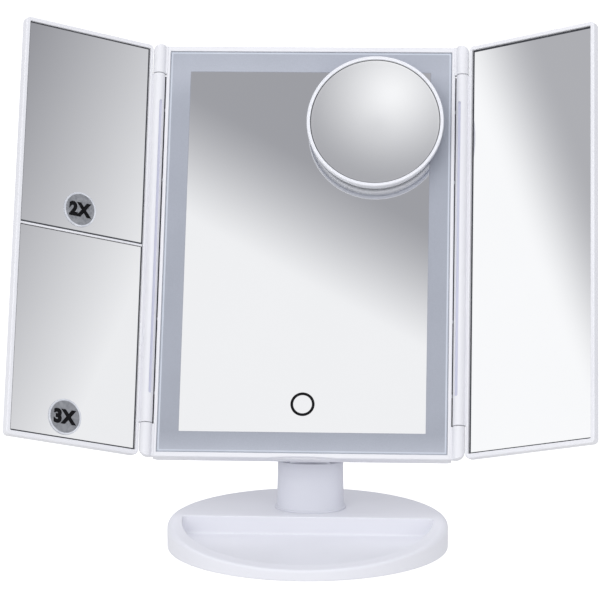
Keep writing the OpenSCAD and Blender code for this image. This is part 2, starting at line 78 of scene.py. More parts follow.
# ------------------------------------------------------------------ mesh building
class Shape:
    """Points and faces in millimetres, gathered ring by ring."""

    def __init__(self):
        self.v, self.f, self.m = [], [], []

    def ring(self, pts):
        i = len(self.v)
        self.v += [tuple(p) for p in pts]
        return list(range(i, i + len(pts)))

    def join(self, a, b, mat=0, closed=True):
        n = len(a)
        for i in range(n if closed else n - 1):
            j = (i + 1) % n
            self.f.append((a[i], a[j], b[j], b[i]))
            self.m.append(mat)

    def skin(self, rings, mat=0, loop=False, mats=None):
        ids = [self.ring(r) for r in rings]
        for k in range(len(ids) - 1 + (1 if loop else 0)):
            self.join(ids[k], ids[(k + 1) % len(ids)], mats[k] if mats else mat)
        return ids

    def cap(self, ids, mat=0):
        self.f.append(tuple(ids))
        self.m.append(mat)

    def solid(self, rings, mat=0, mats=None, cap_mats=(None, None)):
        ids = self.skin(rings, mat, mats=mats)
        self.cap(ids[0], mat if cap_mats[0] is None else cap_mats[0])
        self.cap(ids[-1], mat if cap_mats[1] is None else cap_mats[1])
        return ids

    def bar(self, lo, hi, r=0.3, mat=0):
        """A box with rounded edges."""
        (x0, y0, z0), (x1, y1, z1) = lo, hi
        r = min(r, 0.49 * (x1 - x0), 0.49 * (y1 - y0), 0.49 * (z1 - z0))
        rings = []
        lower = [(r * (1 - math.sin(a)), r * (1 - math.cos(a))) for a in (0, 0.5236, 1.0472, 1.5708)]
        for inset, dz in lower:
            rings.append([(x, y, z0 + dz) for x, y in rrect(x0 + inset, x1 - inset, y0 + inset, y1 - inset, max(r - inset, 0.02), 3)])
        for inset, dz in lower[::-1]:
            rings.append([(x, y, z1 - dz) for x, y in rrect(x0 + inset, x1 - inset, y0 + inset, y1 - inset, max(r - inset, 0.02), 3)])
        self.solid(rings, mat)


def rrect(x0, x1, z0, z1, r, k=6):
    """A rounded rectangle, anticlockwise from the lower right corner."""
    out = []
    for cx, cz, a0 in ((x1 - r, z0 + r, -90), (x1 - r, z1 - r, 0), (x0 + r, z1 - r, 90), (x0 + r, z0 + r, 180)):
        for i in range(k + 1):
            a = math.radians(a0 + 90 * i / k)
            out.append((cx + r * math.cos(a), cz + r * math.sin(a)))
    return out


def turned(shape, prof, seg=96, mat=0, mats=None, caps=(True, True)):
    """A profile of (r, z) turned about Z."""
    rings = [[(r * math.cos(2 * math.pi * i / seg), r * math.sin(2 * math.pi * i / seg), z) for i in range(seg)] for r, z in prof]
    ids = shape.skin(rings, mat, mats=mats)
    if caps[0]:
        shape.cap(ids[0], mats[0] if mats else mat)
    if caps[1]:
        shape.cap(ids[-1], mats[-1] if mats else mat)
    return ids


def make(name, shape, matrix, body, mats, replaces=(), angle=32, smooth=True, normals=True):
    me = bpy.data.meshes.new(name)
    me.from_pydata([matrix @ Vector(p) for p in shape.v], [], shape.f)
    for m in mats:
        me.materials.append(m)
    me.polygons.foreach_set("material_index", shape.m)
    bm = bmesh.new()
    bm.from_mesh(me)
    bmesh.ops.remove_doubles(bm, verts=bm.verts, dist=1e-7)
    if normals:
        bmesh.ops.recalc_face_normals(bm, faces=bm.faces)
    elif matrix.determinant() < 0:
        bmesh.ops.reverse_faces(bm, faces=bm.faces)
    bm.to_mesh(me)
    bm.free()
    if smooth:
        me.polygons.foreach_set("use_smooth", [True] * len(me.polygons))
        me.set_sharp_from_angle(angle=math.radians(angle))
    me.update()
    ob = bpy.data.objects.new(name, me)
    scene.collection.objects.link(ob)
    if smooth:
        even(ob)
    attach(ob, body)
    if replaces:
        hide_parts(*replaces)
    return ob


def even(ob):
    """Flat areas keep their flat shading beside rounded edges."""
    w = ob.modifiers.new("even", "WEIGHTED_NORMAL")
    w.keep_sharp = True
    w.weight = 80


def carved(shape, cutters):
    """The shape with other closed shapes cut out of it."""
    def mesh(sh):
        me = bpy.data.meshes.new("tmp")
        me.from_pydata(sh.v, [], sh.f)
        bm = bmesh.new()
        bm.from_mesh(me)
        bmesh.ops.remove_doubles(bm, verts=bm.verts, dist=1e-4)
        bmesh.ops.recalc_face_normals(bm, faces=bm.faces)
        bm.to_mesh(me)
        bm.free()
        o = bpy.data.objects.new("tmp", me)
        scene.collection.objects.link(o)
        return o

    main = mesh(shape)
    tools = [mesh(c) for c in cutters]
    for o in tools:
        m = main.modifiers.new("cut", "BOOLEAN")
        m.operation, m.solver, m.object = "DIFFERENCE", "EXACT", o
    bpy.context.view_layer.update()
    me = bpy.data.meshes.new_from_object(main.evaluated_get(bpy.context.evaluated_depsgraph_get()))
    out = Shape()
    out.v = [tuple(v.co) for v in me.vertices]
    out.f = [tuple(q.vertices) for q in me.polygons]
    out.m = [0] * len(out.f)
    for o in [main] + tools:
        bpy.data.objects.remove(o)
    return out


# ------------------------------------------------------------------ materials
def new_material(name):
    m = bpy.data.materials.new(name)
    m.use_nodes = True
    t = m.node_tree
    bsdf = t.nodes["Principled BSDF"]
    return m, t, bsdf


def noise(t, coord, scale, detail=3.0, rough=0.5):
    n = t.nodes.new("ShaderNodeTexNoise")
    n.inputs["Scale"].default_value = scale
    n.inputs["Detail"].default_value = detail
    n.inputs["Roughness"].default_value = rough
    t.links.new(coord, n.inputs["Vector"])
    return n.outputs["Fac"]


def ramp(t, fac, stops):
    r = t.nodes.new("ShaderNodeValToRGB")
    r.color_ramp.elements[0].position, r.color_ramp.elements[0].color = stops[0][0], (*stops[0][1], 1)
    r.color_ramp.elements[1].position, r.color_ramp.elements[1].color = stops[-1][0], (*stops[-1][1], 1)
    for pos, col in stops[1:-1]:
        e = r.color_ramp.elements.new(pos)
        e.color = (*col, 1)
    t.links.new(fac, r.inputs["Fac"])
    return r.outputs["Color"]


def span(t, fac, lo, hi, a=0.0, b=1.0):
    n = t.nodes.new("ShaderNodeMapRange")
    n.inputs["From Min"].default_value, n.inputs["From Max"].default_value = a, b
    n.inputs["To Min"].default_value, n.inputs["To Max"].default_value = lo, hi
    t.links.new(fac, n.inputs["Value"])
    return n.outputs["Result"]


def bump(t, bsdf, fac, strength, distance):
    n = t.nodes.new("ShaderNodeBump")
    n.inputs["Strength"].default_value = strength
    n.inputs["Distance"].default_value = distance
    t.links.new(fac, n.inputs["Height"])
    t.links.new(n.outputs["Normal"], bsdf.inputs["Normal"])


def coords(t):
    return t.nodes.new("ShaderNodeTexCoord").outputs["Object"]


def surface(name, dark, light, rough=(0.3, 0.4), scale=60, fine=2200, grain=0.05, depth=0.00005, metallic=0.0, spec=0.5, coat=0.0, between=(0.35, 0.65)):
    """A moulded, turned or painted surface: slow colour change, fine grain, uneven gloss."""
    m, t, bsdf = new_material(name)
    c = coords(t)
    t.links.new(ramp(t, noise(t, c, scale, 4.0), [(between[0], dark), (between[1], light)]), bsdf.inputs["Base Color"])
    t.links.new(span(t, noise(t, c, scale * 3.1, 3.0), rough[0], rough[1], 0.3, 0.7), bsdf.inputs["Roughness"])
    bump(t, bsdf, noise(t, c, fine, 2.0), grain, depth)
    bsdf.inputs["Metallic"].default_value = metallic
    bsdf.inputs["Specular IOR Level"].default_value = spec
    if coat:
        bsdf.inputs["Coat Weight"].default_value = coat
        bsdf.inputs["Coat Roughness"].default_value = 0.12
    return m


WHITE = surface("white_shell_plastic", (0.800, 0.803, 0.832), (0.822, 0.825, 0.852), rough=(0.30, 0.40), scale=14, fine=2600, grain=0.06)
# lighter copy of the white plastic for the spot housing: a glossier finish, and lighter as painted light on its walls
LIT_GLOSSY = surface("gloss_shell_painted_light", (0.855, 0.865, 0.905), (0.875, 0.885, 0.922), rough=(0.16, 0.24), scale=14, fine=2600, grain=0.03)
# darker copy of the gloss plastic for the lip under the spot's ring: painted shade
SHADED_LIP = surface("gloss_lip_painted_shade", (0.66, 0.68, 0.76), (0.69, 0.71, 0.79), rough=(0.16, 0.24), scale=14, fine=2600, grain=0.03)
# darker, bluer copy of the white plastic for the neck: painted shade from the head above
SHADED_NECKP = surface("neck_plastic", (0.670, 0.680, 0.742), (0.692, 0.702, 0.762), rough=(0.34, 0.44), scale=14, fine=2600, grain=0.06)
BASEP = surface("base_plastic", (0.797, 0.802, 0.848), (0.817, 0.823, 0.866), rough=(0.34, 0.46), scale=12, fine=2600, grain=0.08)
# darker, bluer plastic for the barrel's groove: painted shade in the recess
SHADED_GROOVE = surface("groove_painted_shade", (0.58, 0.59, 0.71), (0.61, 0.62, 0.74), rough=(0.4, 0.5), scale=20, fine=2600, grain=0.05)
MIRROR = surface("silvered_glass", (0.925, 0.93, 0.935), (0.94, 0.945, 0.95), rough=(0.006, 0.012), scale=8, fine=400, grain=0.0, metallic=1.0)
SPOTMIRROR = surface("silvered_glass_concave", (0.925, 0.93, 0.935), (0.94, 0.945, 0.95), rough=(0.25, 0.27), scale=8, fine=400, grain=0.0, metallic=1.0)


def frosted():
    """Blasted glass: fine grain, and painted light that makes it a little lighter along the upper band and the lower
    rim.
    """
    m, t, bsdf = new_material("frosted_glass_band")
    c = coords(t)
    up = HEAD.to_3x3().normalized() @ Vector((0, 0, 1))
    foot = HEAD @ Vector((0, 0, 0))
    along = t.nodes.new("ShaderNodeVectorMath")
    along.operation = "DOT_PRODUCT"
    t.links.new(c, along.inputs[0])
    along.inputs[1].default_value = up
    h = span(t, along.outputs["Value"], 0.0, 1.0, foot.dot(up), foot.dot(up) + 0.2309)
    grey = lambda v: tuple(((x / 255 + 0.055) / 1.055) ** 2.4 * FROST_GAIN for x in (v, v + 4.5, v + 15))
    # the height ramp is painted light: lighter near the foot and along the upper band, darker up the sides
    base = ramp(t, h, [(0.0, grey(187)), (0.02, grey(178)), (0.05, grey(167)), (0.12, grey(170)), (0.88, grey(172)), (0.945, grey(185)), (1.0, grey(179))])
    grain = ramp(t, noise(t, c, 2600, 3.0, 0.7), [(0.3, (0.93, 0.93, 0.93)), (0.7, (1.07, 1.07, 1.07))])
    cloud = ramp(t, noise(t, c, 35, 3.0), [(0.3, (0.975, 0.975, 0.975)), (0.7, (1.025, 1.025, 1.025))])
    for other in (grain, cloud):
        mul = t.nodes.new("ShaderNodeVectorMath")
        mul.operation = "MULTIPLY"
        t.links.new(base, mul.inputs[0])
        t.links.new(other, mul.inputs[1])
        base = mul.outputs["Vector"]
    t.links.new(base, bsdf.inputs["Base Color"])
    t.links.new(span(t, noise(t, c, 60, 3.0), 0.42, 0.52, 0.3, 0.7), bsdf.inputs["Roughness"])
    bump(t, bsdf, noise(t, c, 5200, 2.0), 0.25, 0.00008)
    bsdf.inputs["Specular IOR Level"].default_value = 0.35
    return m


FROST_GAIN = 0.91
FROST = frosted()
GEDGE = surface("glass_edge_light", (0.54, 0.58, 0.65), (0.60, 0.64, 0.71), rough=(0.15, 0.25), scale=40, fine=2600, grain=0.03)
# near-black colour for the mirror edges: painted shade of the gaps round the glass
SHADED_MIRROR_EDGE = surface("mirror_edge_painted_shade", (0.035, 0.038, 0.046), (0.060, 0.064, 0.074), rough=(0.25, 0.4), scale=60, fine=2600, grain=0.1)
INK = surface("black_ink", (0.003, 0.003, 0.004), (0.007, 0.007, 0.009), rough=(0.5, 0.65), scale=300, fine=4000, grain=0.1, spec=0.15)
FILM = surface("badge_silver_film", (0.24, 0.25, 0.27), (0.34, 0.35, 0.37), rough=(0.28, 0.45), scale=420, fine=5200, grain=0.35, metallic=0.25)
RIMCLEAR = surface("badge_clear_rim", (0.58, 0.60, 0.65), (0.74, 0.76, 0.80), rough=(0.12, 0.2), scale=200, fine=3000, grain=0.05)

STEEL = surface("zinc_steel", (0.52, 0.53, 0.55), (0.63, 0.64, 0.66), rough=(0.25, 0.42), scale=300, fine=3500, grain=0.2, metallic=1.0)
RAWSTEEL = surface("rolled_steel", (0.33, 0.34, 0.36), (0.45, 0.46, 0.48), rough=(0.4, 0.6), scale=90, fine=1800, grain=0.35, metallic=1.0)
DARKSTEEL = surface("spring_steel", (0.16, 0.165, 0.175), (0.24, 0.245, 0.255), rough=(0.3, 0.45), scale=260, fine=3500, grain=0.2, metallic=1.0)
PLATE = surface("base_plate_plastic", (0.70, 0.705, 0.74), (0.735, 0.74, 0.775), rough=(0.5, 0.65), scale=25, fine=1500, grain=0.3, depth=0.0001)
RUBBER = surface("foot_rubber", (0.020, 0.020, 0.023), (0.036, 0.036, 0.040), rough=(0.7, 0.85), scale=180, fine=2400, grain=0.35, depth=0.0001)
CUP = surface("clear_soft_rubber", (0.62, 0.65, 0.68), (0.72, 0.75, 0.78), rough=(0.18, 0.3), scale=120, fine=2000, grain=0.08)
BUSH = surface("bush_plastic", (0.78, 0.74, 0.62), (0.83, 0.79, 0.68), rough=(0.4, 0.5), scale=120, fine=2400, grain=0.15)
COPPER = surface("sensor_copper", (0.62, 0.34, 0.16), (0.74, 0.43, 0.22), rough=(0.25, 0.45), scale=240, fine=3500, grain=0.2, metallic=1.0)
MILK = surface("milky_diffuser", (0.80, 0.84, 0.87), (0.85, 0.89, 0.92), rough=(0.45, 0.6), scale=60, fine=2600, grain=0.15)
STRIP = surface("white_solder_mask", (0.82, 0.82, 0.78), (0.88, 0.88, 0.84), rough=(0.35, 0.5), scale=150, fine=3000, grain=0.15)
LED = surface("led_phosphor", (0.88, 0.70, 0.16), (0.93, 0.80, 0.28), rough=(0.2, 0.35), scale=600, fine=4000, grain=0.1)
TRAYP = surface("light_tray_plastic", (0.86, 0.86, 0.86), (0.90, 0.90, 0.90), rough=(0.4, 0.55), scale=60, fine=2200, grain=0.15)
GREEN = surface("green_solder_mask", (0.015, 0.12, 0.045), (0.025, 0.17, 0.065), rough=(0.3, 0.45), scale=260, fine=3000, grain=0.2)
CHIP = surface("chip_plastic", (0.012, 0.012, 0.014), (0.022, 0.022, 0.025), rough=(0.45, 0.6), scale=400, fine=3800, grain=0.25)
LEAD = surface("lead_sleeve", (0.40, 0.02, 0.015), (0.48, 0.03, 0.022), rough=(0.4, 0.55), scale=200, fine=3000, grain=0.12)
CELL = surface("cell_jacket", (0.030, 0.031, 0.037), (0.050, 0.051, 0.058), rough=(0.22, 0.35), scale=90, fine=2600, grain=0.08)
NICKEL = surface("nickel_plate", (0.66, 0.66, 0.64), (0.76, 0.76, 0.74), rough=(0.14, 0.26), scale=300, fine=3500, grain=0.12, metallic=1.0)
TAPE = surface("foam_tape", (0.66, 0.66, 0.62), (0.74, 0.74, 0.70), rough=(0.7, 0.85), scale=400, fine=1800, grain=0.5, depth=0.0002)

CAD_LOOKS = {
    "base_plate": PLATE, "ballast_weight": RAWSTEEL, "rubber_feet": RUBBER, "base_screws": STEEL, "neck_bolts": STEEL,
    "knuckle_bushes": BUSH, "tilt_shaft": STEEL, "shaft_nut": STEEL, "friction_washers": DARKSTEEL, "tilt_bracket": WHITE,
    "bracket_screws": STEEL, "hinge_pins": STEEL, "touch_sensor": COPPER, "diffuser": MILK, "led_board": STRIP, "leds": LED,
    "light_tray": TRAYP, "control_board": GREEN, "control_components": CHIP, "inner_leads": LEAD, "rear_cover": WHITE,
    "cover_screws": STEEL, "battery_door": WHITE, "battery_cells": CELL, "battery_contacts": NICKEL, "usb_socket": NICKEL,
    "left_tape": TAPE, "right_tape": TAPE, "suction_cups": CUP, "base_shell": BASEP, "neck": SHADED_NECKP, "centre_frame": WHITE,
    "main_mirror": MIRROR, "touch_mark": INK, "left_wing_frame": WHITE, "right_wing_frame": WHITE, "mirror_2x": MIRROR,
    "mirror_3x": MIRROR, "right_mirror": MIRROR, "badge_2x": FILM, "badge_3x": FILM, "spot_housing": WHITE, "spot_glass": SPOTMIRROR,
}
for name, mat in CAD_LOOKS.items():
    me = nodes[name].data
    me.materials.clear()
    me.materials.append(mat)
    me.polygons.foreach_set("material_index", [0] * len(me.polygons))


# ------------------------------------------------------------------ centre frame
def notch(u):
    """Height that the finger notch takes off the lower edge at u."""
    return max(0.0, 0.8 - u * u / 400.0)


def bezel():
    s = Shape()
    prof = [(0.0, 3.5), (0.0, 0.50)] + [(0.16 - 0.16 * math.cos(a), 0.42 - 0.42 * math.sin(a)) for a in (0.5, 1.0, 1.5708)]
    prof += [(0.72, 0.0)] + [(0.72 + 0.28 * math.sin(a), 0.6 - 0.6 * math.cos(a)) for a in (0.4, 0.8, 1.2, 1.5708)]
    prof += [(1.0, 3.0), (1.0, 3.05), (1.0, 8.0), (0.0, 8.0)]
    us = [-18 + i for i in range(37)]
    rings = []
    for f, y in prof:
        x = HALF + 2 * f
        zb, zt = FRAME_LO * f, GLASS_H + 2.9 * f
        k = 1.0 if y < 3.02 else 0.0
        ring = [(-x, y, zb)] + [(u, y, zb + notch(u) * f * f * k) for u in us] + [(x, y, zb), (x, y, zt), (-x, y, zt)]
        rings.append(ring)
    s.skin(rings, loop=True)
    for side in (-1, 1):
        # corner barrels: rounded away on the outer side, flush with the bezel on the inner side
        for z0, z1, lift, seg in ((BAR_HI, FRAME_HI + 0.2, 2.7, 48), (BAR_LO, FRAME_LO - 0.3, 4.4, 48)):
            d = 1 if z1 > z0 else -1
            e = 0.7
            rings = []
            for i_r, (r, z, k) in enumerate([(BAR_R - 0.25, 0, 0), (BAR_R - 0.07, 0.07, 0), (BAR_R, 0.25, 0), (BAR_R, abs(z1 - z0) - 6.5, 0)]
                                            + [(BAR_R - e + e * math.cos(a), -e + e * math.sin(a), 1) for a in [math.radians(x) for x in range(0, 91, 15)]]
                                            + [(BAR_R * 0.55, 0.0, 1), (BAR_R * 0.2, 0.0, 1)]):
                ring = []
                for i in range(seg):
                    t = 2 * math.pi * i / seg
                    out_ = max(0.0, (r * math.cos(t) + BAR_R) / (2 * BAR_R))
                    zz = z if k == 0 else abs(z1 - z0) + z - lift * (1 - math.sqrt(max(0.0, 1 - 0.985 * out_ ** 2.4)))
                    ring.append((side * (HINGE_U + r * math.cos(t)), HINGE_Y + r * math.sin(t), z0 + d * zz))
                rings.append(ring)
            s.solid(rings)
            lo_z, hi_z = (z0, FRAME_HI - 0.15) if d > 0 else (FRAME_LO + 0.1, z0)
            s.bar((min(side * 81.7, side * HINGE_U), -1.5, lo_z), (max(side * 81.7, side * HINGE_U), 3.0, hi_z), 0.5)
            s.bar((min(side * 80.3, side * 82.6), -0.4, lo_z), (max(side * 80.3, side * 82.6), 3.0, hi_z), 0.3)
        for v in (33, 75, 155, 196):
            s.bar((min(side * 80, side * 81.3), 0.8, v - 0.8), (max(side * 80, side * 81.3), 2.6, v + 0.8), 0.25)
        # dark strip behind the barrel: painted shade that stands for the shadow in the hinge gap
        s.bar((min(side * 80.9, side * 82.3), 3.2, 15.9), (max(side * 80.9, side * 82.3), 4.0, 216.8), 0.15, 1)
    return make("head_bezel", s, HEAD, "head", [WHITE, HINGE_GAP_SHADE], ["centre_frame"])


def main_glass():
    s = Shape()

    def loop(inset, y, top=None, bottom=None, x=None):
        hx = HALF - 0.1 - inset if x is None else x
        z0 = 0.1 + inset if bottom is None else bottom
        z1 = GLASS_H - 0.1 - inset if top is None else top
        return [(px, y, pz) for px, pz in rrect(-hx, hx, z0, z1, 0.4, 3)]

    rings = [loop(0.3, 3.5), loop(0, 3.2), loop(0, 0.72), loop(0.22, 0.5), loop(0.5, 0.5), loop(1.35, 0.5), loop(1.6, 0.5),
             loop(0, 0.5, 218.98, 11.42, 67.38), loop(0, 0.5, 218.72, 11.68, 67.12)]
    # the third edge colour gives thin darker lines along the bezel and round the mirror: painted shade
    ids = s.skin(rings, mats=[2, 2, 2, 3, 2, 1, 1, 3])
    s.cap(ids[0], 1)
    s.cap(ids[-1], 0)
    return make("main_glass", s, HEAD, "head", [MIRROR, FROST, GEDGE, SHADED_GLASS_EDGE], ["main_mirror"], angle=20)


# near-black material for the strip behind the hinge gap: painted shade
HINGE_GAP_SHADE = surface("hinge_gap_painted_shade", (0.050, 0.050, 0.062), (0.075, 0.075, 0.09), rough=(0.6, 0.75), scale=120, fine=2400, grain=0.3)
# darker glass edge colour: painted shade
SHADED_GLASS_EDGE = surface("glass_edge_painted_shade", (0.27, 0.29, 0.34), (0.33, 0.35, 0.40), rough=(0.25, 0.4), scale=60, fine=2600, grain=0.1)


def touch_ring():
    s = Shape()
    prof = [(5.12, 0.5), (5.1, 0.42), (5.16, 0.4), (6.54, 0.4), (6.6, 0.42), (6.58, 0.5)]
    seg = 96
    rings = [[(r * math.cos(2 * math.pi * i / seg), y, 27.4 + r * math.sin(2 * math.pi * i / seg)) for i in range(seg)] for r, y in prof]
    s.skin(rings, loop=True)
    return make("touch_ring", s, HEAD, "head", [INK], ["touch_mark"])


# ------------------------------------------------------------------ wings
def wing_frame(name, matrix, body, divided, node):
    s = Shape()
    v0, v1 = -2.5, FRAME_HI - 0.2
    pocket = (S0 + 1.9, S1 - 2.4, 0.2, GLASS_H + 0.4)

    def inner(y, grow=0.0, r=0.5):
        return [(x, y, z) for x, z in rrect(pocket[0] - grow, pocket[1] + grow, pocket[2] - grow, pocket[3] + grow, r + grow, 6)]

    def outer(y, inset, r=2.6):
        return [(x, y, z) for x, z in rrect(S0 + inset, S1 - inset, v0 + inset, v1 - inset, max(r - inset, 0.3), 6)]

    rings = [inner(4.4), inner(0.95), inner(0.62, 0.06), inner(0.45, 0.22), inner(0.4, 0.45)]
    rings += [outer(0.4, 0.85), outer(0.44, 0.55), outer(0.56, 0.28), outer(0.76, 0.1), outer(1.05, 0.0)]
    rings += [outer(4.6, 0.0), outer(5.1, 0.1), outer(5.5, 0.32), outer(5.78, 0.68), outer(0.4 + WING_T, 1.2)]
    ids = s.skin(rings)
    s.cap(ids[0])
    s.cap(ids[-1])
    # hinge barrel with its long shallow groove in front
    seg, half, dep, g0, g1 = 40, 0.95, 0.6, 33.0, 200.0
    z_lo, z_hi = BAR_LO + 0.4, BAR_HI - 0.4
    stops = [(z_lo, 0, BAR_R - 0.25), (z_lo + 0.07, 0, BAR_R - 0.07), (z_lo + 0.25, 0, BAR_R)]
    for i in range(9):
        a = math.radians(90 * i / 8)
        stops.append((g0 - half * math.cos(a), half * math.sin(a), BAR_R))
    for i in range(9):
        a = math.radians(90 - 90 * i / 8)
        stops.append((g1 + half * math.cos(a), half * math.sin(a), BAR_R))
    stops += [(z_hi - 0.25, 0, BAR_R), (z_hi - 0.07, 0, BAR_R - 0.07), (z_hi, 0, BAR_R - 0.25)]
    rings = []
    for z, w, r in stops:
        a = math.asin(max(w, 0.012) / r)
        d = dep if w > 0.3 else 0.0
        fx, fy = max(w, 0.012), -math.sqrt(r * r - max(w, 0.012) ** 2)
        ring = [(fx, fy, z)]
        for i in range(1, seg):
            t = -math.pi / 2 + a + (2 * math.pi - 2 * a) * i / seg
            ring.append((r * math.cos(t), r * math.sin(t), z))
        ring += [(-fx, fy, z), (-fx * 0.985, fy + d, z), (fx * 0.985, fy + d, z)]
        rings.append(ring)
    ids = [s.ring(r) for r in rings]
    for k in range(len(ids) - 1):
        n = len(ids[k])
        for i in range(n):
            j = (i + 1) % n
            s.f.append((ids[k][i], ids[k][j], ids[k + 1][j], ids[k + 1][i]))
            # the groove floor takes the darker material: painted shade in the groove
            s.m.append(1 if i == n - 2 and 3 <= k else 0)
    s.cap(ids[0])
    s.cap(ids[-1])
    s.bar((0.6, 0.6, z_lo + 0.1), (S0 + 0.8, 3.2, z_hi - 0.1), 0.3)
    if divided:
        s.bar((S0 + 2.4, 0.9, 115.1), (S1 - 2.2, 4.6, 116.3), 0.25)
    return make(name, s, matrix, body, [WHITE, SHADED_GROOVE], [node])


def wing_mirror(name, matrix, body, lo_v, hi_v, front, node, bow, insets):
    """A mirror plate with a near-black edge, painted shade of the gap round it; insets are hinge side, outer side, foot
    and top.
    """
    s = Shape()
    s0, s1 = S0 + 2.1, S1 - 2.6
    ih, io, ib, it = insets
    cu, cv = (s0 + s1) / 2, (lo_v + hi_v) / 2
    n_u, n_v = 14, 22

    def rect(e, y):
        return [(s0 + e, y, lo_v + e), (s1 - e, y, lo_v + e), (s1 - e, y, hi_v - e), (s0 + e, y, hi_v - e)]

    x0, x1, z0, z1 = s0 + ih, s1 - io, lo_v + ib, hi_v - it
    back_ids = s.ring(rect(0.0, 3.8))
    side_ids = s.ring(rect(0.0, front + 0.35))
    s.join(back_ids, side_ids, 1)
    s.cap(back_ids, 1)
    grid = {}
    for j in range(n_v + 1):
        for i in range(n_u + 1):
            x, z = x0 + (x1 - x0) * i / n_u, z0 + (z1 - z0) * j / n_v
            q2 = (x - cu) ** 2 + (z - cv) ** 2
            y = front + (bow and ((s1 - s0) ** 2 + (hi_v - lo_v) ** 2) / 8 / bow - q2 / (2 * bow))
            grid[i, j] = s.ring([(x, y, z)])[0]
    for j in range(n_v):
        for i in range(n_u):
            s.f.append((grid[i, j], grid[i + 1, j], grid[i + 1, j + 1], grid[i, j + 1]))
            s.m.append(0)
    edges = [[grid[i, 0] for i in range(n_u + 1)], [grid[n_u, j] for j in range(n_v + 1)],
             [grid[i, n_v] for i in range(n_u, -1, -1)], [grid[0, j] for j in range(n_v, -1, -1)]]
    # the band between the frame and the silvered face takes the near-black edge colour: painted shade of the gap
    for k, e in enumerate(edges):
        a, b = side_ids[k], side_ids[(k + 1) % 4]
        s.f.append(tuple([a, b] + e[::-1]))
        s.m.append(1)
    return make(name, s, matrix, body, [MIRROR, SHADED_MIRROR_EDGE], [node], angle=12)


def badge(name, s_pos, v_pos, y, text, node):
    s = Shape()
    seg = 72

    def ring(r, yy):
        return [(s_pos + r * math.cos(2 * math.pi * i / seg), yy, v_pos + r * math.sin(2 * math.pi * i / seg)) for i in range(seg)]

    rings = [ring(9.6, y + 1.05), ring(9.8, y + 0.85), ring(9.8, y + 0.2), ring(9.62, y + 0.03), ring(9.35, y), ring(9.0, y + 0.02), ring(8.8, y + 0.16), ring(8.75, y + 0.2)]
    ids = s.skin(rings, mats=[1, 1, 1, 1, 1, 1, 0])
    s.cap(ids[0], 1)
    s.cap(ids[-1], 0)
    disc = make(name, s, LEFT, "left_wing", [FILM, RIMCLEAR], [node])
    cu = bpy.data.curves.new(name + "_mark", "FONT")
    cu.body, cu.size, cu.offset, cu.extrude = text, 11.2, 0.62, 0.09
    cu.bevel_depth, cu.bevel_resolution = 0.05, 1
    cu.align_x, cu.align_y = "CENTER", "CENTER"
    cu.space_character = 1.1
    tmp = bpy.data.objects.new("tmp_text", cu)
    scene.collection.objects.link(tmp)
    bpy.context.view_layer.update()
    me = bpy.data.meshes.new_from_object(tmp.evaluated_get(bpy.context.evaluated_depsgraph_get()))
    bpy.data.objects.remove(tmp)
    xs = [v.co.x for v in me.vertices]
    ys = [v.co.y for v in me.vertices]
    cx, cy = (min(xs) + max(xs)) / 2, (min(ys) + max(ys)) / 2
    kx, ky = 13.6 / (max(xs) - min(xs)), 8.2 / (max(ys) - min(ys))
    # the wing's own frame is mirrored, so the letters are turned to read the right way round
    me.transform(LEFT @ Matrix(((-kx, 0, 0, s_pos + cx * kx), (0, 0, -1, y + 0.12), (0, ky, 0, v_pos - cy * ky), (0, 0, 0, 1))))
    me.materials.clear()
    me.materials.append(INK)
    bm = bmesh.new()
    bm.from_mesh(me)
    bmesh.ops.remove_doubles(bm, verts=bm.verts, dist=1e-7)
    bmesh.ops.recalc_face_normals(bm, faces=bm.faces)
    bm.to_mesh(me)
    bm.free()
    mark = bpy.data.objects.new(name + "_mark", me)
    scene.collection.objects.link(mark)
    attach(mark, "left_wing")
    return disc, mark


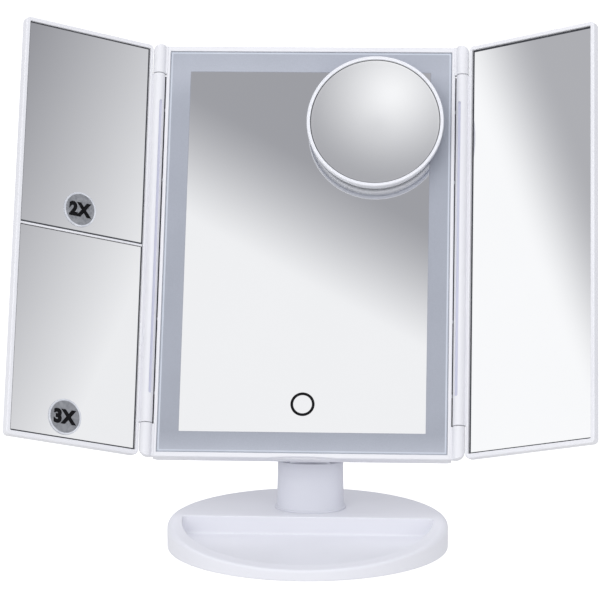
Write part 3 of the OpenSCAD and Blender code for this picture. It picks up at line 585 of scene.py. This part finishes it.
# ------------------------------------------------------------------ round magnifier
def spot():
    s = Shape()
    r = SPOT_R
    prof = [(0.01, 1.6), (r - 2.7, 1.6), (r - 2.2, 1.66), (r - 1.85, 1.85), (r - 1.65, 2.15), (r - 1.55, 2.6), (r - 1.5, 6.2), (r - 1.56, 6.55), (r - 1.5, 6.85),
            (r - 1.2, 7.0), (r - 0.7, 7.08), (r - 0.45, 7.2), (r - 0.3, 7.5), (r - 0.2, 8.2), (r - 0.06, 9.9), (r, 10.6), (r, 11.3), (r - 0.06, 11.65), (r - 0.22, 11.97), (r - 0.38, 12.15),
            (r - 0.55, 12.2), (r - 0.75, 12.1), (r - 0.95, 11.88), (r - 1.15, 11.82), (r - 1.35, 11.9), (r - 1.55, 12.08), (r - 1.7, 12.12), (r - 1.84, 12.0), (r - 1.95, 11.7), (r - 2.0, 11.3), (r - 2.0, 3.2), (0.01, 3.2)]
    # the lip under the ring is painted darker: painted shade under the overhanging ring
    turned(s, prof, 144, mats=[1 if 9 <= i <= 14 else 0 for i in range(len(prof) - 1)])
    # the housing's lighter plastic is partly painted light
    housing = make("spot_shell", s, SPOT, "spot_mirror", [LIT_GLOSSY, SHADED_LIP], ["spot_housing"])
    g = Shape()
    q, m = r - 2.42, 20
    ids = {}
    for j in range(2 * m + 1):
        for i in range(2 * m + 1):
            x, y = (i - m) / m, (j - m) / m
            # square grid drawn onto the disc, so that no point gathers many faces
            px, py = q * x * math.sqrt(1 - y * y / 2), q * y * math.sqrt(1 - x * x / 2)
            ids[i, j] = g.ring([(px, py, 5.7 + (px * px + py * py) / 240)])[0]
    for j in range(2 * m):
        for i in range(2 * m):
            g.f.append((ids[i, j], ids[i + 1, j], ids[i + 1, j + 1], ids[i, j + 1]))
            g.m.append(0)
    edge = [ids[i, 0] for i in range(2 * m)] + [ids[2 * m, j] for j in range(2 * m)] + [ids[i, 2 * m] for i in range(2 * m, 0, -1)] + [ids[0, j] for j in range(2 * m, 0, -1)]
    top = [g.v[i] for i in edge]
    lower = g.ring([(x * 1.0093, y * 1.0093, z + 0.02) for x, y, z in top])
    foot = g.ring([(x * 1.0093, y * 1.0093, z - 1.5) for x, y, z in top])
    g.join(edge, lower, 1)
    g.join(lower, foot, 1)
    inner = g.ring([(x * 0.5, y * 0.5, 4.2 + (x * x + y * y) / 960) for x, y, z in top])
    g.join(foot, inner, 1)
    g.cap(inner, 1)
    glass = make("spot_mirror_glass", g, SPOT, "spot_mirror", [SPOTMIRROR, SHADED_MIRROR_EDGE], ["spot_glass"], angle=25)
    return housing, glass


# ------------------------------------------------------------------ base
def top_z(y):
    t = -2.0 - y
    return BASE_H - RIM_SLOPE * 0.5 * (t + math.sqrt(t * t + 9.0))


def base():
    front, corner, rear = 96, 10, 48
    rc, fr = 2.0, 1.3
    a0 = math.asin((TRAY_Y - rc) / (TRAY_R - rc))
    xc, yc = (TRAY_R - rc) * math.cos(a0), TRAY_Y - rc

    def d_point(k, o):
        """Point k of the tray's outline, o inside its rim."""
        if k <= front:
            a = math.pi - a0 + (math.pi + 2 * a0) * k / front
            return (TRAY_R - o) * math.cos(a), (TRAY_R - o) * math.sin(a)
        k -= front
        if k <= corner:
            a = a0 + (0.5 * math.pi - a0) * k / corner
            return xc + (rc - o) * math.cos(a), yc + (rc - o) * math.sin(a)
        k -= corner
        if k <= rear:
            return xc * (1 - 2 * k / rear), TRAY_Y - o
        k -= rear
        a = 0.5 * math.pi + (0.5 * math.pi - a0) * k / corner
        return -xc + (rc - o) * math.cos(a), yc + (rc - o) * math.sin(a)

    n = front + 2 * corner + rear
    lim = math.radians(17.5)

    def angle(k):
        if k <= front:
            return math.pi - a0 + (math.pi + 2 * a0) * k / front
        k -= front
        if k <= corner:
            return a0 + (lim - a0) * k / corner
        k -= corner
        if k <= rear:
            return math.acos(math.cos(lim) * (1 - 2 * k / rear))
        k -= rear
        return math.pi - lim + (lim - a0) * k / corner

    s = Shape()
    e = 0.6
    rings = []
    per = []
    for k in range(n):
        x0, y0 = d_point(k, 0)
        zt = top_z(y0)
        zw = zt - e
        phi = math.acos(max(0.0, 1 - (zw - TRAY_Z) / fr)) if zw < TRAY_Z + fr else math.pi / 2
        prof = [(fr - fr * math.sin(phi * i / 6), TRAY_Z + fr * (1 - math.cos(phi * i / 6))) for i in range(7)]
        oe = prof[-1][0]
        prof.append((oe, max(zw, prof[-1][1])))
        p0, p2 = prof[-1], (oe - e, zt)
        c = (oe, zt)
        for i in range(1, 6):
            t = i / 5
            prof.append(tuple((1 - t) ** 2 * p0[j] + 2 * t * (1 - t) * c[j] + t * t * p2[j] for j in (0, 1)))
        pts = [(*d_point(k, o), z) for o, z in prof]
        a = angle(k)
        # the outer edge is tighter along the low front rim
        w = min(1.0, max(0.0, (-12 - BASE_R * math.sin(a)) / 40))
        fil = 4.2 - 2.6 * w * w * (3 - 2 * w)
        q = BASE_R - fil
        xi, yi, _ = pts[-1]
        for t in (0.05, 0.33, 0.66, 0.95):
            x, y = xi + (q * math.cos(a) - xi) * t, yi + (q * math.sin(a) - yi) * t
            pts.append((x, y, top_z(y)))
        zc = top_z(q * math.sin(a)) - fil
        for i in range(13):
            f = math.radians(90 - 7.5 * i)
            r = q + fil * math.cos(f)
            pts.append((r * math.cos(a), r * math.sin(a), zc + fil * math.sin(f)))
        for r, z in ((BASE_R, 1.45), (BASE_R - 0.05, 1.2), (BASE_R - 0.2, 0.98), (BASE_R - 0.42, 0.85), (BASE_R - 0.7, SKIRT), (BASE_R - 2.8, SKIRT), (BASE_R - 2.8, 3.65)):
            pts.append((r * math.cos(a), r * math.sin(a), z))
        per.append(pts)
    for j in range(len(per[0])):
        rings.append([per[k][j] for k in range(n)])
    ids = s.skin(rings)
    s.cap(ids[0])
    s.cap(ids[-1])
    room = Shape()
    y0, r = TRAY_Y + 2.2, BASE_R - 2.8
    lo = math.asin(y0 / r)
    outline = [(r * math.cos(lo + (math.pi - 2 * lo) * i / 40), r * math.sin(lo + (math.pi - 2 * lo) * i / 40)) for i in range(41)]
    room.solid([[(x * 0.999, y, 2.0) for x, y in outline], [(x * 0.999, y, 9.4) for x, y in outline], [(x * 0.965, y0 + (y - y0) * 0.965, 13.6) for x, y in outline]])
    s = carved(s, [room])
    return make("base_body", s, WORLD, "stand", [BASEP], ["base_shell"], angle=40)


def neck():
    s = Shape()
    seg = 96

    def oval(z, a, b, yc, n=2.3):
        out = []
        for i in range(seg):
            t = 2 * math.pi * i / seg
            c, d = math.cos(t), math.sin(t)
            out.append((a * math.copysign(abs(c) ** (2 / n), c), yc + b * math.copysign(abs(d) ** (2 / n), d), z))
        return out

    prof = [(15.75, 19.3, 16.0, 27.75), (15.85, 19.45, 16.15, 27.75), (16.3, 19.5, 16.2, 27.75), (16.55, 19.45, 16.15, 27.75), (16.75, 19.3, 16.0, 27.75),
            (16.88, 19.05, 15.75, 27.75), (16.98, 18.8, 15.5, 27.75), (17.15, 18.6, 15.3, 27.75), (17.45, 18.45, 15.12, 27.78), (18.0, 18.35, 14.9, 27.8)]
    for i in range(1, 13):
        t = i / 12
        z = 18.0 + 16.5 * t
        w = 1 - (1 - t) ** 1.5
        prof.append((z, 18.35 - 0.35 * t, 14.9 - 6.2 * w, 27.8 + 1.0 * t))
    prof += [(38.0, 18.0, 8.7, 28.8), (40.9, 18.0, 8.7, 28.8), (41.2, 17.92, 8.62, 28.8), (41.4, 17.7, 8.4, 28.8), (41.5, 17.35, 8.05, 28.8)]
    s.solid([oval(*p) for p in prof])
    side = [(PIV_Y - 7.6, 40.8)] + [(PIV_Y + 8 * math.cos(math.radians(a)), PIV_Z + 8 * math.sin(math.radians(a))) for a in range(180, -1, -6)] + [(PIV_Y + 7.6, 40.8)]
    side[1] = (PIV_Y - 7.62, PIV_Z - 2.4)
    side[-2] = (PIV_Y + 7.62, PIV_Z - 2.4)
    rings = []
    for x, g in ((-11, 0.6), (-10.82, 0.18), (-10.4, 0.0), (10.4, 0.0), (10.82, 0.18), (11, 0.6)):
        rings.append([(x, PIV_Y + (y - PIV_Y) * (1 - g / 8), PIV_Z + (z - PIV_Z) * (1 - g / 8)) for y, z in side])
    s.solid(rings)
    # the neck takes the darker plastic: painted shade under the head
    return make("neck_column", s, WORLD, "stand", [SHADED_NECKP], ["neck"], angle=40)


base()
neck()
bezel()
main_glass()
touch_ring()
wing_frame("left_wing_shell", LEFT, "left_wing", True, "left_wing_frame")
wing_frame("right_wing_shell", RIGHT, "right_wing", False, "right_wing_frame")
wing_mirror("left_mirror_upper", LEFT, "left_wing", 116.5, GLASS_H + 0.2, 1.3, "mirror_2x", 60000, (0.95, 0.25, 0.75, 0.65))
wing_mirror("left_mirror_lower", LEFT, "left_wing", 0.4, 114.9, 1.3, "mirror_3x", 60000, (0.95, 0.25, 0.6, 0.25))
wing_mirror("right_mirror_glass", RIGHT, "right_wing", 0.4, GLASS_H + 0.2, 1.5, "right_mirror", 0, (1.1, 0.2, 0.5, 1.1))
badge("badge_upper", 45.5, 129.1, 0.55, "2X", "badge_2x")
badge("badge_lower", 49.0, 12.1, 0.6, "3X", "badge_3x")
spot()


# ------------------------------------------------------------------ back of the head
def slab(loops, k=8):
    """Rounded rectangles in u and v stacked along y: (u0, u1, v0, v1, corner radius, y)."""
    return [[(x, y, z) for x, z in rrect(u0, u1, v0, v1, r, k)] for u0, u1, v0, v1, r, y in loops]


def shrunk(u, v0, v1, r, steps):
    """Loops of one rounded rectangle, each drawn in by its first number, at its second."""
    return [(-u + i, u - i, v0 + i, v1 - i, max(r - i, 0.3), y) for i, y in steps]


def rod_y(sh, x, z, r, y0, y1, seg=32):
    rings = [[(x + r * math.cos(2 * math.pi * i / seg), y, z + r * math.sin(2 * math.pi * i / seg)) for i in range(seg)] for y in (y0, y1)]
    sh.solid(rings)


def rear_cover():
    body = Shape()
    w, lo, hi = FRAME_HALF, FRAME_LO, FRAME_HI
    loops = shrunk(w, lo, hi, 2, [(0.0, 8.0), (0.0, 9.0), (0.06, 9.45), (0.3, 9.9)])
    for t in (0.15, 0.5, 0.85):
        i = 0.3 + (3.2 - 0.3) * t
        loops.append((-w + i, w - i, lo + i, hi - i, 2 + 5 * i / 4, 9.9 + (12.55 - 9.9) * t))
    loops += [(-w + i, w - i, lo + i, hi - i, 2 + 5 * i / 4, y) for i, y in ((3.2, 12.6), (3.65, 13.1), (4.2, 13.5), (4.9, 13.8), (5.7, 13.95), (6.6, 14.0))]
    body.solid(slab(loops))
    # the room inside, less the walls of the recess that the neck enters
    hollow, walls, recess = Shape(), Shape(), Shape()
    hollow.solid(slab([(-79, 79, 0, GLASS_H, 1, 6), (-79, 79, 0, GLASS_H, 1, 9.2), (-75.5, 75.5, 3.5, GLASS_H - 3.5, 6, 11.6), (-75, 75, 4, GLASS_H - 4, 6, 12.0)]))
    walls.bar((HEAD_OFF - 23, 8.7, -8.0), (HEAD_OFF + 23, 18.0, 21.9), 0.4)
    recess.solid([[(x, y, z) for x, z in rrect(HEAD_OFF - 21.2, HEAD_OFF + 21.2, -12, 20, 1.2, 5)] for y in (10.4, 18)])
    cutters = [carved(hollow, [walls]), recess]
    # housing of the cells
    shell = Shape()
    shell.solid(slab([(-39.6, 39.6, 26.4, 96.6, 7.4, 12.6), (-39.6, 39.6, 26.4, 96.6, 7.4, 13.7), (-39.45, 39.45, 26.55, 96.45, 7.3, 14.0), (-39.0, 39.0, 27.0, 96.0, 7.0, 14.3), (-38.75, 38.75, 27.25, 95.75, 6.9, 14.8),
                      (-37.4, 37.4, 28.6, 94.4, 6.0, 18.5), (-36.1, 36.1, 29.9, 93.1, 5.4, 22.0), (-35.9, 35.9, 30.1, 92.9, 5.2, 22.5), (-35.5, 35.5, 30.5, 92.5, 5, 23.0), (-35.0, 35.0, 31.0, 92.0, 4.6, 23.35), (-34.4, 34.4, 31.6, 91.4, 4.2, 23.5)]))
    inside = Shape()
    inside.solid(slab([(-37, 37, 29, 94, 5, 11), (-37, 37, 29, 94, 5, 14), (-33.5, 33.5, 32.5, 90.5, 3.5, 20.5), (-33.5, 33.5, 32.5, 90.5, 3.5, 21.5)]))
    well, seat, port = Shape(), Shape(), Shape()
    well.bar((-28, 9.8, 36), (28, 30, 86), 1.0)
    seat.solid([[(x, y, z) for x, z in rrect(-30, 30, 34, 110, 1.0, 4)] for y in (21.6, 30)])
    port.bar((-45, 16.8, 39.5), (-33, 20.4, 48.1), 1.2)
    shell = carved(shell, [inside, well, seat, port])
    for x in (-58, 58):
        for z in (24, 116, 208):
            h = Shape()
            rod_y(h, x, z, 3.0, 12.9, 16)
            cutters.append(h)
    well2 = Shape()
    well2.bar((-28, 9.7, 36.1), (28.0, 31, 86.1), 1.0)
    cutters.append(well2)
    out = carved(body, cutters)
    n = len(out.v)
    out.v += shell.v
    out.f += [tuple(i + n for i in q) for q in shell.f]
    out.m += shell.m
    # floor and walls of the well that holds the cells
    for lo, hi in (((-30, 8.6, 34), (30, 9.8, 88)), ((-30, 8.7, 34), (-28, 21.55, 88)), ((28, 8.7, 34), (30, 21.55, 88)), ((-29.5, 8.7, 34), (29.5, 21.5, 36)), ((-29.5, 8.7, 86), (29.5, 21.5, 88))):
        out.bar(lo, hi, 0.2)
    return make("cover_shell", out, HEAD, "head", [WHITE], ["rear_cover"], angle=38)


def battery_door():
    d = Shape()
    loops = [(-29.7 + i, 29.7 - i, 34.3 + i, 92.3 - i, max(2.2 - i, 0.4), y) for i, y in ((0.25, 21.8), (0.0, 22.0), (0.0, 23.1), (0.1, 23.32), (0.28, 23.45), (0.6, 23.5))]
    d.solid(slab(loops, 6))
    corner = []
    for x in (-31.5, 31.5):
        h = Shape()
        rod_y(h, x, 94.5, 3.5, 20, 26)
        corner.append(h)
    thumb = Shape()
    rings = [[((8 + g) * math.cos(2 * math.pi * i / 48), y, 66 + (8 + g) * math.sin(2 * math.pi * i / 48)) for i in range(48)] for g, y in ((-2.2, 22.9), (-0.6, 23.1), (0.3, 23.45), (1.0, 24))]
    thumb.solid(rings)
    d = carved(d, corner + [thumb])
    for i in range(4):
        z = 76 + i * 2.8
        d.bar((-9, 23.2, z), (9, 23.9, z + 1.4), 0.35)
    for q in (-1, 1):
        d.bar((min(q * 26, q * 29.8), 19.8, 45), (max(q * 26, q * 29.8), 20.8, 54.5), 0.2)
        d.bar((min(q * 26, q * 27.7), 20.4, 45), (max(q * 26, q * 27.7), 22.2, 54.5), 0.2)
    return make("door_panel", d, HEAD, "battery_door", [WHITE], ["battery_door"], angle=38)


def tilt_bracket():
    b = Shape()
    b.bar((HEAD_OFF - 20.6, 10.42, 0.4), (HEAD_OFF + 20.6, 12.0, 19.2), 0.4)
    side = [(11.6, 1.2)] + [(PIV_D + 8 * math.cos(math.radians(a)), PIV_V + 8 * math.sin(math.radians(a))) for a in range(-96, 97, 8)] + [(11.6, 18.4)]
    for q in (-1, 1):
        rings = []
        for x, g in ((11.6, 0.45), (11.75, 0.12), (12.05, 0.0), (16.15, 0.0), (16.45, 0.12), (16.6, 0.45)):
            rings.append([(HEAD_OFF + q * x, PIV_D + (y - PIV_D) * (1 - g / 8), PIV_V + (z - PIV_V) * (1 - g / 8)) for y, z in side])
        b.solid(rings)
    return make("bracket_body", b, HEAD, "head", [WHITE], ["tilt_bracket"], angle=38)


rear_cover()
battery_door()
tilt_bracket()


# ------------------------------------------------------------------ world and lights
def build_world():
    w = bpy.data.worlds.new("studio")
    scene.world = w
    w.use_nodes = True
    t_ = w.node_tree
    t_.nodes.clear()
    out = t_.nodes.new("ShaderNodeOutputWorld")
    bg = t_.nodes.new("ShaderNodeBackground")
    t_.links.new(bg.outputs[0], out.inputs[0])
    direction = t_.nodes.new("ShaderNodeTexCoord").outputs["Generated"]

    def dot(vec):
        n = t_.nodes.new("ShaderNodeVectorMath")
        n.operation = "DOT_PRODUCT"
        t_.links.new(direction, n.inputs[0])
        n.inputs[1].default_value = vec
        return n.outputs["Value"]

    def math_(op, a, b=None, c=None):
        n = t_.nodes.new("ShaderNodeMath")
        n.operation = op
        for i, x in enumerate((a, b, c)):
            if x is None:
                continue
            if isinstance(x, (int, float)):
                n.inputs[i].default_value = x
            else:
                t_.links.new(x, n.inputs[i])
        return n.outputs[0]

    def map_(x, a, b, lo, hi, kind="LINEAR"):
        n = t_.nodes.new("ShaderNodeMapRange")
        n.interpolation_type = kind
        t_.links.new(x, n.inputs["Value"])
        n.inputs["From Min"].default_value, n.inputs["From Max"].default_value = a, b
        n.inputs["To Min"].default_value, n.inputs["To Max"].default_value = lo, hi
        return n.outputs["Result"]

    def mix(f, a, b):
        return math_("ADD", math_("MULTIPLY", b, f), math_("MULTIPLY", a, math_("SUBTRACT", 1.0, f)))

    def patch(right, up, fwd, size):
        """One near a direction, fading to nought round it."""
        a, b, c = dot(right), dot(up), dot(fwd)
        q = math_("POWER", math_("ADD", math_("POWER", math_("ABSOLUTE", math_("MULTIPLY", a, 1 / size[0])), 5.0), math_("POWER", math_("ABSOLUTE", math_("MULTIPLY", b, 1 / size[1])), 5.0)), 0.2)
        return math_("MULTIPLY", map_(q, 1.0, size[2], 1.0, 0.0, "SMOOTHSTEP"), math_("GREATER_THAN", c, 0.0))

    # the broad front light, brightest ahead and above, falling off to the sides and overhead
    az, el = math.radians(BLOB[0]), math.radians(BLOB[1])
    blob = (math.sin(az) * math.cos(el), -math.cos(az) * math.cos(el), math.sin(el))
    psi = math_("ARCCOSINE", math_("MINIMUM", dot(blob), 0.9999))
    value = map_(psi, 0.0, math.radians(BLOB[2]), BLOB[3], BLOB[4])

    # soft edges of the light panels that the three flat mirrors show
    t = math_("ADD", dot(MAIN_T[:3]), MAIN_T[3])
    ramp_main = map_(t, -0.12, 1.12, MAIN_V[0], MAIN_V[1], "SMOOTHSTEP")
    ramp_main = math_("ADD", math_("MULTIPLY", map_(t, 0.0, 1.0, MAIN_V[0], MAIN_V[1]), 0.5), math_("MULTIPLY", ramp_main, 0.5))
    value = mix(patch(*MAIN_P, (0.0425, 0.060, 1.25)), value, ramp_main)
    tl = math_("ADD", dot(LEFT_T[:3]), LEFT_T[3])
    ramp_left = map_(tl, LEFT_V[0], LEFT_V[1], LEFT_V[0], LEFT_V[1])
    value = mix(patch(*LEFT_P, (0.10, 0.11, 1.8)), value, ramp_left)
    tr = math_("ADD", dot(RIGHT_T[:3]), RIGHT_T[3])
    ramp_right = map_(tr, 0.0, 1.0, RIGHT_V[0], RIGHT_V[1], "SMOOTHSTEP")
    value = mix(patch(*RIGHT_P, (0.10, 0.11, 1.8)), value, ramp_right)

    path = t_.nodes.new("ShaderNodeLightPath").outputs
    ray = path["Is Camera Ray"]
    comb = t_.nodes.new("ShaderNodeCombineColor")
    for i, (add, mul) in enumerate(((0.0, 1.0), (0.003, 0.998), (0.048, 0.957))):
        channel = math_("MULTIPLY", math_("POWER", math_("ADD", math_("MULTIPLY", value, mul), add), 2.2), 1.07)
        t_.links.new(mix(ray, channel, 1.15), comb.inputs[i])
    t_.links.new(comb.outputs[0], bg.inputs["Color"])
    t_.links.new(math_("MULTIPLY_ADD", path["Is Diffuse Ray"], DIFFUSE - 1.0, 1.0), bg.inputs["Strength"])


def seen(normal, pixel):
    """What a flat mirror with this normal shows along a line of the photograph: right, up and ahead."""
    n = Vector(normal)
    fwd = -back
    right = fwd.cross(Vector((0, 0, 1))).normalized()
    up = right.cross(fwd)
    d = (fwd + right * ((pixel[0] - 300) / FOCAL) - up * ((pixel[1] - 300) / FOCAL)).normalized()
    r2 = (right - d * right.dot(d)).normalized()
    u2 = r2.cross(d)
    flip = lambda v: v - 2 * v.dot(n) * n
    return flip(right), flip(up), flip(fwd), flip(r2), flip(u2), flip(d)


def line(normal, a, b, c):
    """The vector whose product with a reflected direction gives a*x + b*y + c at that pixel."""
    right, up, fwd = seen(normal, (300, 300))[:3]
    v = right * (a * FOCAL) - up * (b * FOCAL)
    return (*v, c + 300 * a + 300 * b)


FOCAL = 191.73 / 36 * 600
DIFFUSE = 1.69
N_MAIN = HEAD.to_3x3().normalized() @ Vector((0, -1, 0))
N_LEFT = (HEAD.to_3x3().normalized() @ Matrix.Rotation(LEFT_OPEN, 3, "Z")) @ Vector((0, -1, 0))
N_RIGHT = (HEAD.to_3x3().normalized() @ Matrix.Rotation(-RIGHT_OPEN, 3, "Z")) @ Vector((0, -1, 0))
MAIN_P, LEFT_P, RIGHT_P = seen(N_MAIN, (303, 252))[3:], seen(N_LEFT, (81, 235))[3:], seen(N_RIGHT, (530, 235))[3:]
MAIN_T = line(N_MAIN, -0.558 / 120, 1 / 120, (-100 + 0.558 * 196) / 120)
MAIN_V = (0.612, 0.938)
LEFT_T = line(N_LEFT, 0.429 / 255, 0.18 / 255, 127.2 / 255)
LEFT_V = (0.54, 0.925)
RIGHT_T = line(N_RIGHT, -2.626 / 239, 1 / 239, 0.5 + (2.626 * 490 - 30.8) / 239)
RIGHT_V = (0.676, 0.974)
BLOB = (-11, 28, 44, 1.05, 0.64)
build_world()


def area(name, loc, target, size, power, colour=(1, 1, 1)):
    d = bpy.data.lights.new(name, "AREA")
    d.shape, d.size, d.energy, d.color = "DISK", size, power, colour
    o = bpy.data.objects.new(name, d)
    scene.collection.objects.link(o)
    o.location = loc
    o.rotation_mode = "QUATERNION"
    o.rotation_quaternion = (Vector(target) - Vector(loc)).to_track_quat("-Z", "Y")
    o.visible_glossy = False
    return o


area("key", (-0.9, -1.6, 1.3), (0, 0, 0.12), 1.2, 5.3)
area("fill", (1.1, -1.5, 0.7), (0, 0, 0.12), 1.2, 2.9)
area("top", (0, -0.2, 2.3), (0, 0, 0.12), 1.0, 5.0)
area("side", (-2.0, -0.3, 0.5), (0, 0, 0.12), 1.0, 1.5)
area("rear", (0, 1.7, 1.5), (0, 0, 0.12), 1.2, 5.5)

floor_me = bpy.data.meshes.new("floor")
floor_me.from_pydata([(-6, -6, 0), (6, -6, 0), (6, 6, 0), (-6, 6, 0)], [], [(0, 1, 2, 3)])
floor = bpy.data.objects.new("floor", floor_me)
scene.collection.objects.link(floor)
fm, ft, fb = new_material("pale_floor")
fc = ramp(ft, noise(ft, coords(ft), 1.5, 2.0), [(0.3, (0.30, 0.30, 0.30)), (0.7, (0.32, 0.32, 0.32))])
lit = ft.nodes.new("ShaderNodeBsdfPrincipled")
for node, glow in ((fb, 0.50), (lit, 1.0)):
    ft.links.new(fc, node.inputs["Base Color"])
    node.inputs["Roughness"].default_value = 0.9
    node.inputs["Specular IOR Level"].default_value = 0.0
    node.inputs["Emission Color"].default_value = (1, 1, 1, 1)
    node.inputs["Emission Strength"].default_value = glow
either = ft.nodes.new("ShaderNodeMixShader")
ft.links.new(ft.nodes.new("ShaderNodeLightPath").outputs["Is Camera Ray"], either.inputs[0])
ft.links.new(fb.outputs[0], either.inputs[1])
ft.links.new(lit.outputs[0], either.inputs[2])
ft.links.new(either.outputs[0], ft.nodes["Material Output"].inputs["Surface"])
floor_me.materials.append(fm)

scene.view_settings.view_transform = "Standard"
scene.view_settings.look = "None"
